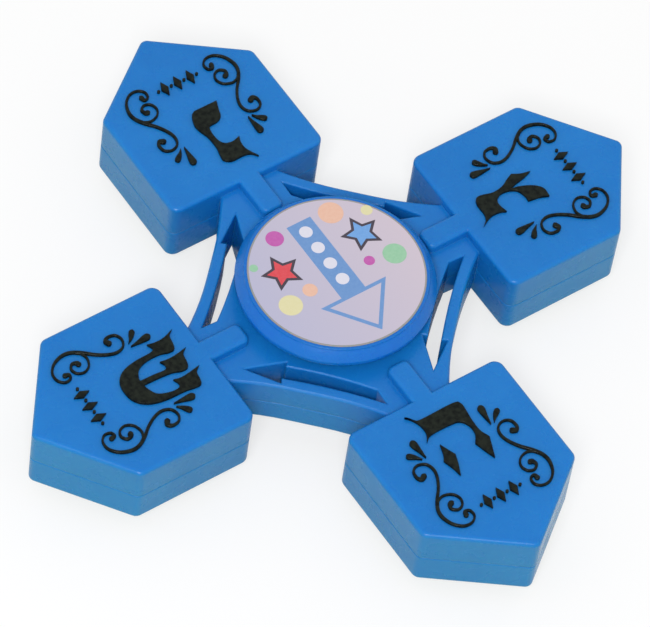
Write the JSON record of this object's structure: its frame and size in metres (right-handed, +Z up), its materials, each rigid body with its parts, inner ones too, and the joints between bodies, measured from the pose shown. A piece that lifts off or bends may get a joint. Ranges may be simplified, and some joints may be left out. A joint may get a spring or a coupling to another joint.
{
  "type": "dreidel spinner",
  "caption": "Flat toy spinner: dreidel-shaped arms in a cross round a ball bearing held between two finger caps, with curved arrow cut-outs between the arms.",
  "frame": {"origin": "on the table under the middle of the lower cap, on the bearing axis", "axes": "+Z up along the bearing axis to the labelled cap; the arms lie on the other axes: nun +Y, gimel +X, he -Y, shin -X"},
  "size_m": [0.0876, 0.0876, 0.0152],
  "materials": {
    "body_plastic": "semi-gloss",
    "cap_plastic": "gloss",
    "label_film": "satin",
    "weight_steel": "plain",
    "bearing_steel": "ground",
    "ball_steel": "polished",
    "cage_plastic": "moulded",
    "shield_steel": "pressed"
  },
  "bodies": {
    "caps": {"cap_upper": "cap_plastic", "cap_lower": "cap_plastic", "pointer_label": "label_film", "bearing_inner_ring": "bearing_steel"},
    "spinner": {"upper_shell": "body_plastic", "lower_shell": "body_plastic", "weight_nun": "weight_steel", "weight_gimel": "weight_steel", "weight_he": "weight_steel", "weight_shin": "weight_steel", "bearing_outer_ring": "bearing_steel", "shield_upper": "shield_steel", "shield_lower": "shield_steel"},
    "cage": {"bearing_cage": "cage_plastic"},
    "ball_1": {"bearing_ball_1": "ball_steel"},
    "ball_2": {"bearing_ball_2": "ball_steel"},
    "ball_3": {"bearing_ball_3": "ball_steel"},
    "ball_4": {"bearing_ball_4": "ball_steel"},
    "ball_5": {"bearing_ball_5": "ball_steel"},
    "ball_6": {"bearing_ball_6": "ball_steel"},
    "ball_7": {"bearing_ball_7": "ball_steel"}
  },
  "joints": [
    {"name": "spin", "type": "hinge", "parent": "caps", "child": "spinner", "pos_m": [0, 0, 0.00752], "axis": [0, 0, 1], "continuous": true},
    {"name": "cage_orbit", "type": "hinge", "parent": "caps", "child": "cage", "pos_m": [0, 0, 0.00752], "axis": [0, 0, 1], "continuous": true},
    {"name": "ball_1_roll", "type": "hinge", "parent": "cage", "child": "ball_1", "pos_m": [0, -0.0075, 0.00752], "axis": [0, 0, 1], "continuous": true},
    {"name": "ball_2_roll", "type": "hinge", "parent": "cage", "child": "ball_2", "pos_m": [0.00586, -0.00468, 0.00752], "axis": [0, 0, 1], "continuous": true},
    {"name": "ball_3_roll", "type": "hinge", "parent": "cage", "child": "ball_3", "pos_m": [0.00731, 0.00167, 0.00752], "axis": [0, 0, 1], "continuous": true},
    {"name": "ball_4_roll", "type": "hinge", "parent": "cage", "child": "ball_4", "pos_m": [0.00325, 0.00676, 0.00752], "axis": [0, 0, 1], "continuous": true},
    {"name": "ball_5_roll", "type": "hinge", "parent": "cage", "child": "ball_5", "pos_m": [-0.00325, 0.00676, 0.00752], "axis": [0, 0, 1], "continuous": true},
    {"name": "ball_6_roll", "type": "hinge", "parent": "cage", "child": "ball_6", "pos_m": [-0.00731, 0.00167, 0.00752], "axis": [0, 0, 1], "continuous": true},
    {"name": "ball_7_roll", "type": "hinge", "parent": "cage", "child": "ball_7", "pos_m": [-0.00586, -0.00468, 0.00752], "axis": [0, 0, 1], "continuous": true}
  ],
  "couplings": [
    {"joint": "cage_orbit", "follows": "spin", "ratio": 0.6323},
    {"joint": "ball_1_roll", "follows": "spin", "ratio": 1.7573},
    {"joint": "ball_2_roll", "follows": "spin", "ratio": 1.7573},
    {"joint": "ball_3_roll", "follows": "spin", "ratio": 1.7573},
    {"joint": "ball_4_roll", "follows": "spin", "ratio": 1.7573},
    {"joint": "ball_5_roll", "follows": "spin", "ratio": 1.7573},
    {"joint": "ball_6_roll", "follows": "spin", "ratio": 1.7573},
    {"joint": "ball_7_roll", "follows": "spin", "ratio": 1.7573}
  ]
}
